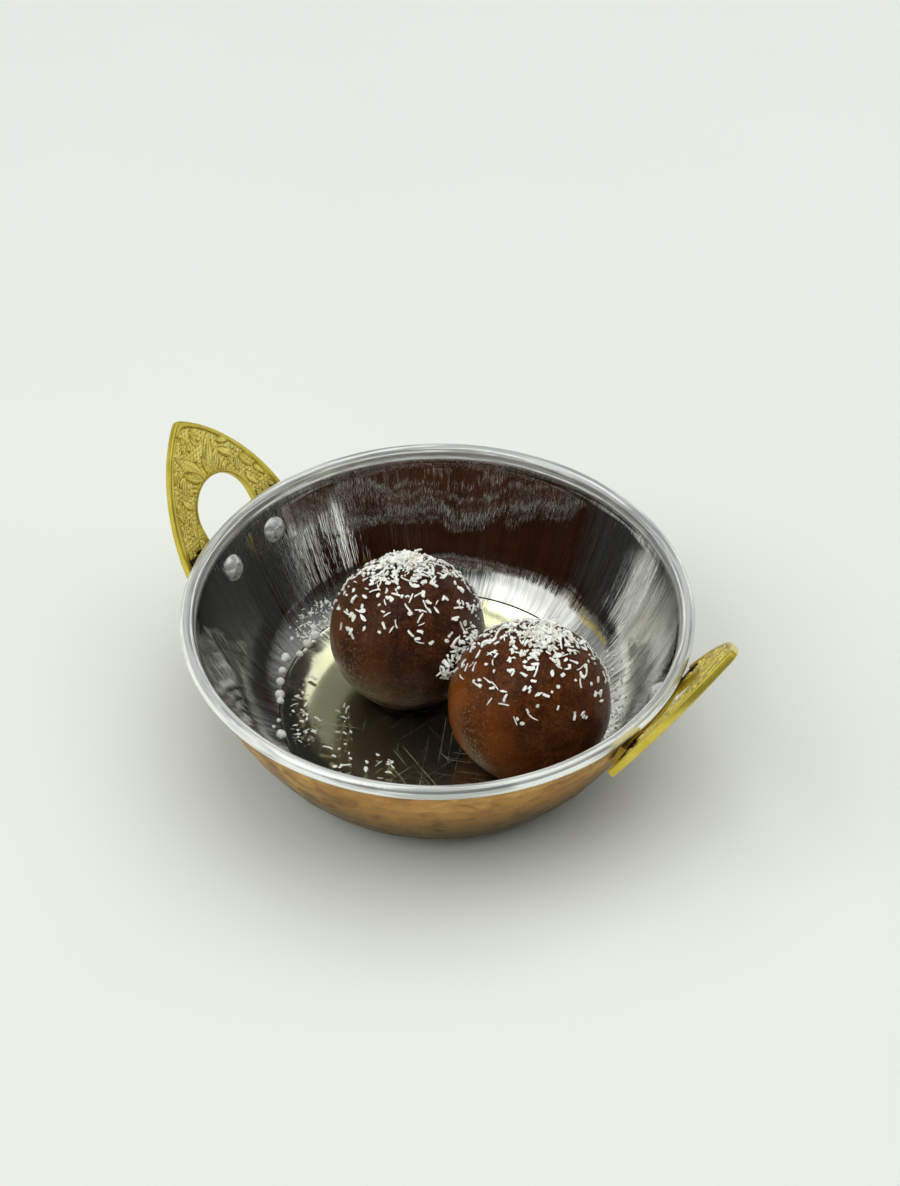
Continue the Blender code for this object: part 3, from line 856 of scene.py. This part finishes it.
def syrup_piece():
    """The pool: a level sheet with a meniscus up the balls and the shore, closed below the steel."""
    profile = wall_arc(STEEL_OFFSET, STEEL_FILLET, FLOOR, 20.0, 2, 60, 20)
    heights = [z for _, z in profile]
    reaches = [r for r, _ in profile]
    shore = float(np.interp(SYRUP_LEVEL, heights[2:], reaches[2:])) + SHORE_OVERLAP
    rings = 118
    spokes = 240
    radius = shore * (np.arange(1, rings + 1) / rings)[:, None]
    angle = (np.arange(spokes) * math.tau / spokes)[None]
    x, y = radius * np.cos(angle), radius * np.sin(angle)
    wave = SHORE_RISE * np.exp(-(shore - radius) / SHORE_REACH) + 0 * angle
    # The shade is painted shadow: a dark ring round each sweet's foot, for its contact shadow and
    # reflection.
    shade = 0 * wave
    for centre, size in BALLS.values():
        line = math.sqrt(size ** 2 - (centre.z - SYRUP_LEVEL) ** 2)
        gap = np.clip(np.hypot(x - centre.x, y - centre.y) - line, 0, None)
        wave = wave + BALL_RISE * np.exp(-gap / BALL_REACH)
        shade = np.maximum(shade, np.exp(-(gap / SHADE_REACH) ** 2))
    top = np.stack([x, y, SYRUP_LEVEL + wave], -1).reshape(-1, 3)
    sunk = np.interp(radius, reaches, heights) - SYRUP_SINK
    underside = np.stack([x, y, np.minimum(sunk, SYRUP_LEVEL + 0.2) + 0 * angle], -1)
    # Every sixth ring is enough below
    underside = underside[5::6]
    tips = [(0, 0, SYRUP_LEVEL), (0, 0, FLOOR - SYRUP_SINK)]
    points = np.vstack([top, underside[::-1].reshape(-1, 3), tips])
    faces = [face[::-1] for face in tipped_faces(rings + len(underside), spokes)]
    shade = np.concatenate([shade.ravel(), np.zeros(len(points) - shade.size)])
    pool = add_piece("syrup_pool", points, faces, "syrup", slot="syrup", sharp=180.0,
                     attributes={"shade": shade})
    pool.data.materials.append(syrup_look())


# Coconut

def flake(rng, length, width, thick):
    """One bent, torn sliver: five rings of four points, narrower at its ends."""
    rings = 5
    bend = rng.uniform(-0.25, 0.25) * length
    curl = rng.uniform(-0.18, 0.18) * length
    blunt = rng.uniform(0.35, 1.0)
    points = []
    for i in range(rings):
        t = i / (rings - 1) * 2 - 1
        taper = (1 - (1 - blunt) * abs(t) ** 1.8) * rng.uniform(0.7, 1.15)
        w = width * taper / 2
        h = thick * rng.uniform(0.6, 1.1) / 2
        middle = curl * (1 - t * t) * 0.5
        rise = bend * (1 - t * t) * 0.5
        for a, b in ((-1, -1), (1, -1), (1, 1), (-1, 1)):
            x = t * length / 2 + rng.uniform(-0.10, 0.10) * width
            y = middle + a * w * rng.uniform(0.8, 1.1)
            points.append((x, y, rise + b * h))
    return np.array(points), capped_faces(rings, 4)


def flake_size(rng):
    """Grated coconut is part threads, part chips and part crumbs; lengths in millimetres."""
    kind = rng.random()
    if kind < 0.30:
        return rng.uniform(1.5, 3.6), rng.uniform(0.34, 0.62), rng.uniform(0.22, 0.40)
    if kind < 0.72:
        return rng.uniform(1.1, 2.3), rng.uniform(0.70, 1.30), rng.uniform(0.25, 0.45)
    return rng.uniform(0.5, 1.1), rng.uniform(0.40, 0.85), rng.uniform(0.30, 0.6)


def scatter(name, places, look, seed):
    """One piece from many flakes; a place is (point, normal, lift, tilt, scale)."""
    rng = np.random.default_rng(seed)
    points = []
    faces = []
    start = 0
    for point, normal, lift, tilt, scale in places:
        shape, quads = flake(rng, *(scale * size for size in flake_size(rng)))
        turn = Matrix.Rotation(rng.uniform(0, math.tau), 3, "Z")
        lean = Matrix.Rotation(rng.uniform(-tilt, tilt), 3, "Y")
        lean = lean @ Matrix.Rotation(rng.uniform(-tilt, tilt), 3, "X")
        base = Vector(normal).to_track_quat("Z", "Y").to_matrix()
        matrix = np.array(base @ lean @ turn)
        points.append(shape @ matrix.T + np.array(point) + np.array(normal) * lift)
        faces += [tuple(start + i for i in f) for f in quads]
        start += len(shape)
    piece = add_piece(name, np.vstack(points), faces, sharp=28.0)
    piece.data.materials.append(look)


def cap_places(rng, centre, radius, axis, dense, sparse, spread, reach):
    """Flakes heaped round an axis on a ball, thinning down its sides."""
    axis = Vector(axis).normalized()
    base = axis.to_track_quat("Z", "Y").to_matrix()
    places = []
    for k in range(dense + sparse):
        heaped = k < dense
        polar = abs(rng.gauss(0, spread)) if heaped else reach * rng.random() ** 0.7
        turn = rng.uniform(0, math.tau)
        flat = math.sin(polar)
        d = base @ Vector((flat * math.cos(turn), flat * math.sin(turn), math.cos(polar)))
        heap = max(0.0, 1 - polar / (spread * 1.7))
        lift = 0.12 + (rng.random() * 1.4 * heap if heaped else 0.02)
        tilt = 0.9 * heap + 0.22
        places.append((centre + d * radius, d, lift, tilt, rng.uniform(0.75, 1.1)))
    return places


def crevice_places(rng, left, right):
    """Flakes caught between the balls, along the near and upper side of where they meet."""
    middle = (left + right) / 2
    along = (right - left).normalized()
    side = along.cross(Vector((0, 0, 1))).normalized()
    places = []
    for _ in range(95):
        angle = rng.uniform(math.radians(18), math.radians(115))
        reach = rng.uniform(7.0, 11.5)
        d = side * math.cos(angle) + Vector((0, 0, 1)) * math.sin(angle)
        point = middle + d * reach + along * rng.gauss(0, 1.0)
        places.append((point, d, 0.2, 1.0, rng.uniform(0.6, 1.1)))
    return places


def floating_places(rng):
    """Flakes adrift in the open corner of the pool, kept off the balls and the shore."""
    places = []
    while len(places) < 70:
        reach = 41.0 * math.sqrt(rng.random())
        angle = math.radians(rng.uniform(196, 290))
        point = Vector((reach * math.cos(angle), reach * math.sin(angle), SYRUP_LEVEL))
        patch = noise.noise(point * 0.11 + Vector((3.0, 0.0, 0.0)))
        clear = all(math.hypot(point.x - c.x, point.y - c.y) > 14.5 for c, _ in BALLS.values())
        if clear and 24 < reach < 39.5 and patch > -0.05:
            places.append((point, Vector((0, 0, 1)), 0.02, 0.10, rng.uniform(0.55, 0.95)))
    return places


def shore_point(angle, height):
    """A point on the liner near the floor, and the way it faces."""
    profile = np.array(wall_arc(STEEL_OFFSET, STEEL_FILLET, FLOOR, 30.0, 2, 60, 30))[2:]
    radius = float(np.interp(height, profile[:, 1], profile[:, 0]))
    ahead = float(np.interp(height + 0.5, profile[:, 1], profile[:, 0]))
    tangent = Vector((ahead - radius, 0.5)).normalized()
    normal = Vector((-tangent.y * math.cos(angle), -tangent.y * math.sin(angle), tangent.x))
    return Vector((radius * math.cos(angle), radius * math.sin(angle), height)), normal


def crumb_places(rng, first, last, low, high, count):
    """Crumbs stuck to the liner just above the pool, between two angles in degrees."""
    places = []
    for _ in range(count):
        angle = math.radians(rng.uniform(first, last))
        point, normal = shore_point(angle, rng.triangular(low, high, low))
        places.append((point, normal, 0.12, 0.25, rng.uniform(0.25, 0.75)))
    return places


def coconut_pieces():
    """Flakes on the sweets, adrift in the syrup, and crumbs on the liner."""
    look = coconut_look()
    rng = random.Random(21)
    (left, left_r), (right, right_r) = BALLS.values()
    away = Vector((-0.55, 0.84, 0))
    left_axis = Vector((0, 0, 1)) + 0.26 * away
    right_axis = Vector((0, 0, 1)) + 0.16 * away + Vector((0.12, 0.08, 0))
    places = cap_places(rng, left, left_r, left_axis, 400, 250, 0.36, 1.25)
    places += cap_places(rng, right, right_r, right_axis, 400, 190, 0.36, 1.25)
    places += crevice_places(rng, left, right)
    scatter("coconut_on_balls", places, look, 4)
    scatter("coconut_in_syrup", floating_places(rng), look, 5)
    crumbs = crumb_places(rng, 163, 182, 4.4, 9.5, 130) + crumb_places(rng, 8, 52, 4.6, 11.0, 120)
    scatter("coconut_crumbs", crumbs, look, 6)


def drop_pieces():
    """Cloudy drops beaded along the pool's left shore, and two clear ones high on the wall."""
    rng = random.Random(8)
    drops = [(angle, rng.uniform(0.2, 1.6), rng.uniform(0.9, 1.45)) for angle in DROP_ANGLES]
    drops += LOOSE_DROPS
    cloudy = [(math.radians(angle), SYRUP_LEVEL + rise, size) for angle, rise, size in drops]
    dome_piece("cloudy_drops", cloudy, drop_look(), 0.8)
    high = [(math.radians(153), 20.8, 0.75), (math.radians(149), 20.3, 0.55)]
    dome_piece("wall_drops", high, syrup_look(), 0.6)


def dome_piece(name, beads, look, bulge):
    """Domes sitting on the liner; a bead is (angle, height, radius)."""
    rows = 9
    spokes = 20
    points = []
    faces = []
    for angle, height, size in beads:
        middle, normal = shore_point(angle, height)
        base = normal.to_track_quat("Z", "Y").to_matrix()
        start = len(points)
        for i in range(rows):
            polar = math.radians(8) + math.radians(112) * i / (rows - 1)
            flat = math.sin(polar)
            for k in range(spokes):
                turn = math.tau * k / spokes
                local = Vector((flat * math.cos(turn), flat * math.sin(turn), math.cos(polar) * bulge))
                wobble = 1 + 0.10 * noise.noise(local * 1.7 + middle)
                points.append(middle + base @ (local * size * wobble))
        faces += capped_faces(rows, spokes, start)
    piece = add_piece(name, points, [face[::-1] for face in faces], sharp=80.0)
    piece.data.materials.append(look)


# Stage

def stage():
    """A flat table under the dish."""
    mesh = bpy.data.meshes.new("table")
    half = 3.0
    corners = [(-half, -half, 0), (half, -half, 0), (half, half, 0), (-half, half, 0)]
    mesh.from_pydata(corners, [], [(0, 1, 2, 3)])
    table = bpy.data.objects.new("table", mesh)
    bpy.context.scene.collection.objects.link(table)
    mesh.materials.append(floor_look())


def soft_light(name, place, size, power):
    """A square lamp aimed at the dish; the steel mirrors the room instead of it."""
    data = bpy.data.lights.new(name, "AREA")
    data.shape = "SQUARE"
    data.size = size
    data.energy = power
    data.color = LAMP_COLOUR
    lamp = bpy.data.objects.new(name, data)
    lamp.location = place
    lamp.rotation_euler = (LAMP_AIM - place).to_track_quat("-Z", "Y").to_euler()
    lamp.visible_glossy = False
    bpy.context.scene.collection.objects.link(lamp)


def studio_world():
    """A white room: bright low down all round and overhead at the back, with a soft lamp at the left."""
    world = bpy.data.worlds.new("studio")
    bpy.context.scene.world = world
    world.use_nodes = True
    nodes = Nodes(world.node_tree, "Generated")
    split = nodes.node("ShaderNodeSeparateXYZ", Vector=nodes.coords)
    lamp = nodes.ramp(nodes.dot(nodes.coords, LAMP_DIRECTION), 0.86, 0.97)
    back = nodes.ramp(nodes.dot(nodes.coords, BACK_DIRECTION), -0.25, 0.45)
    low = nodes.ramp(split.outputs["Z"], 0.33, 0.22)
    over = nodes.math("MULTIPLY", nodes.ramp(split.outputs["Z"], 0.74, 0.88), back)
    light = nodes.math("MULTIPLY_ADD", back, 0.22, 0.035)
    light = nodes.math("MULTIPLY_ADD", over, 0.55, light)
    light = nodes.math("MULTIPLY_ADD", lamp, 0.72, light)
    light = nodes.math("MAXIMUM", light, nodes.math("MULTIPLY", low, 0.92))
    shader = world.node_tree.nodes["Background"]
    shader.inputs["Color"].default_value = (0.97, 1.0, 0.965, 1.0)
    nodes.link(light, shader.inputs["Strength"])


def lights():
    """The room the steel mirrors, and two lamps that light everything else."""
    studio_world()
    soft_light("soft box", LAMP_DIRECTION * 1.3, 1.0, 4.6)
    soft_light("overhead fill", Vector((0.40, 0.50, 1.6)), 2.4, 21.3)


def camera():
    """The photograph's camera."""
    data = bpy.data.cameras.new("camera")
    data.lens = CAMERA_LENS
    view = bpy.data.objects.new("camera", data)
    turn = (CAMERA_AIM - CAMERA_PLACE).to_track_quat("-Z", "Y").to_matrix().to_4x4()
    view.matrix_world = Matrix.Translation(CAMERA_PLACE) @ turn @ Matrix.Rotation(CAMERA_ROLL, 4, "Z")
    bpy.context.scene.collection.objects.link(view)
    bpy.context.scene.camera = view
    bpy.context.scene.view_settings.view_transform = "Standard"


camera()
bowl_pieces()
handle_pieces()
rivet_pieces()
jamun_pieces()
syrup_piece()
coconut_pieces()
drop_pieces()
stage()
lights()
